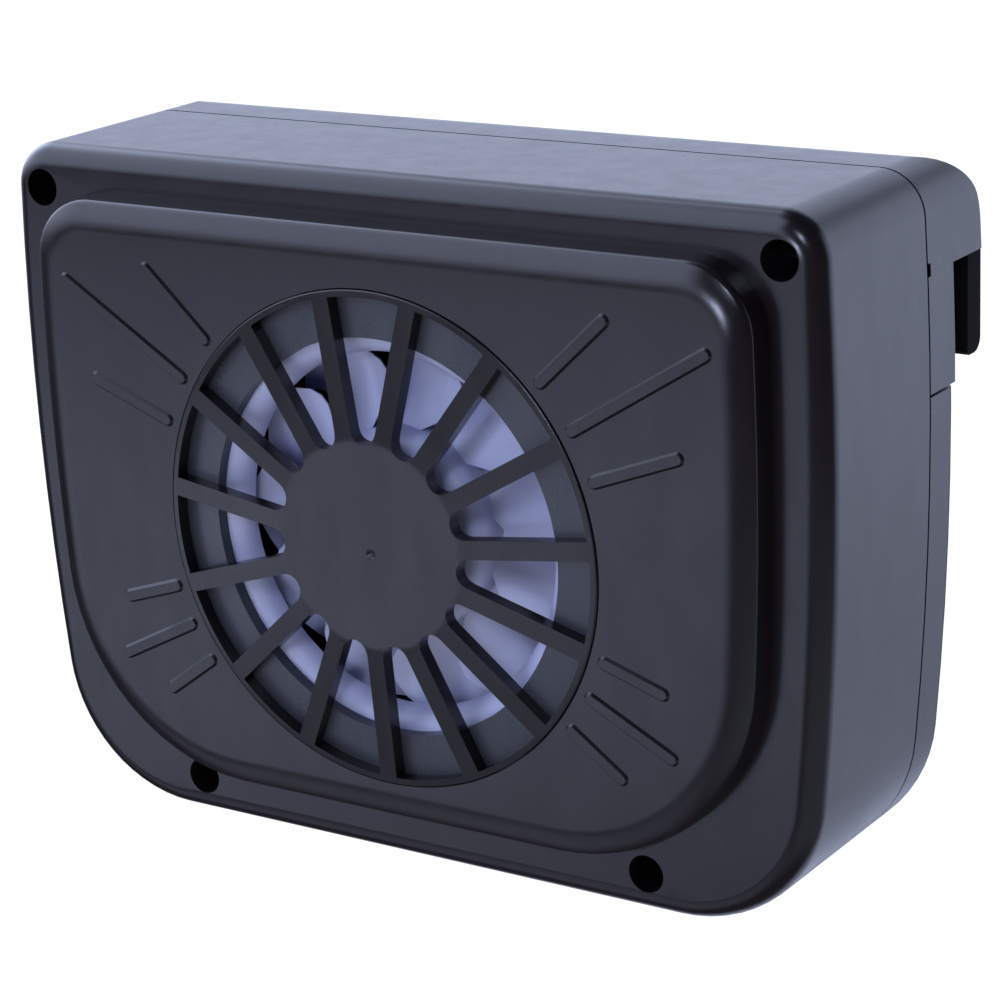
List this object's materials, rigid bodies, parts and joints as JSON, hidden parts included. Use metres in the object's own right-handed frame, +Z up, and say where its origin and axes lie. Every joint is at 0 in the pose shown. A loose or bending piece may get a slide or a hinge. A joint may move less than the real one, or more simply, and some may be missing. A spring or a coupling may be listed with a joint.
{
  "type": "solar window fan",
  "caption": "Solar-powered ventilation fan that hangs on a car window pane: dark plastic casing, round spoked grille, axial fan on a small motor, and a hook whose flap carries solar cells.",
  "frame": {"origin": "The middle of the object's base: centred across its width and its depth, at the height of its lowest point.", "axes": "X runs along the width, to the right as the grille is faced; Y runs from the grille towards the hook; Z is up."},
  "size_m": [0.164, 0.0658, 0.1224],
  "materials": {
    "shell": "satin",
    "black_plastic": "satin",
    "pale_plastic": "satin",
    "cap_plastic": "satin",
    "steel": "brushed",
    "magnet": "matte",
    "core_steel": "matte",
    "bronze": "satin",
    "copper": "satin",
    "board": "matte",
    "cells": "gloss",
    "clear_cover": "gloss",
    "red_lead": "satin",
    "black_lead": "satin",
    "foam": "matte"
  },
  "bodies": {
    "casing": {"front_shell": "shell", "grille": "shell", "inlet_plate": "shell", "rear_shell": "shell", "rear_hook": "shell", "panel_frame": "black_plastic", "motor_bracket": "black_plastic", "fan_duct": "pale_plastic", "motor_end_cap": "cap_plastic", "duct_screws": "steel", "bracket_screws": "steel", "motor_screws": "steel", "case_screws": "steel", "panel_screws": "steel", "motor_can": "steel", "motor_magnets": "magnet", "motor_front_bush": "bronze", "motor_rear_bush": "bronze", "motor_brushes": "bronze", "motor_terminals": "bronze", "cell_board": "board", "solar_cells": "cells", "cell_cover": "clear_cover", "lead_positive": "red_lead", "lead_negative": "black_lead", "glass_pads": "foam"},
    "rotor": {"motor_shaft": "steel", "armature_core": "core_steel", "armature_coils": "copper", "commutator": "copper", "thrust_washers": "cap_plastic", "fan_rotor": "pale_plastic"}
  },
  "joints": [
    {"name": "fan_spin", "type": "hinge", "parent": "casing", "child": "rotor", "pos_m": [0, -0.01165, 0.061], "axis": [0, 1, 0], "continuous": true}
  ]
}
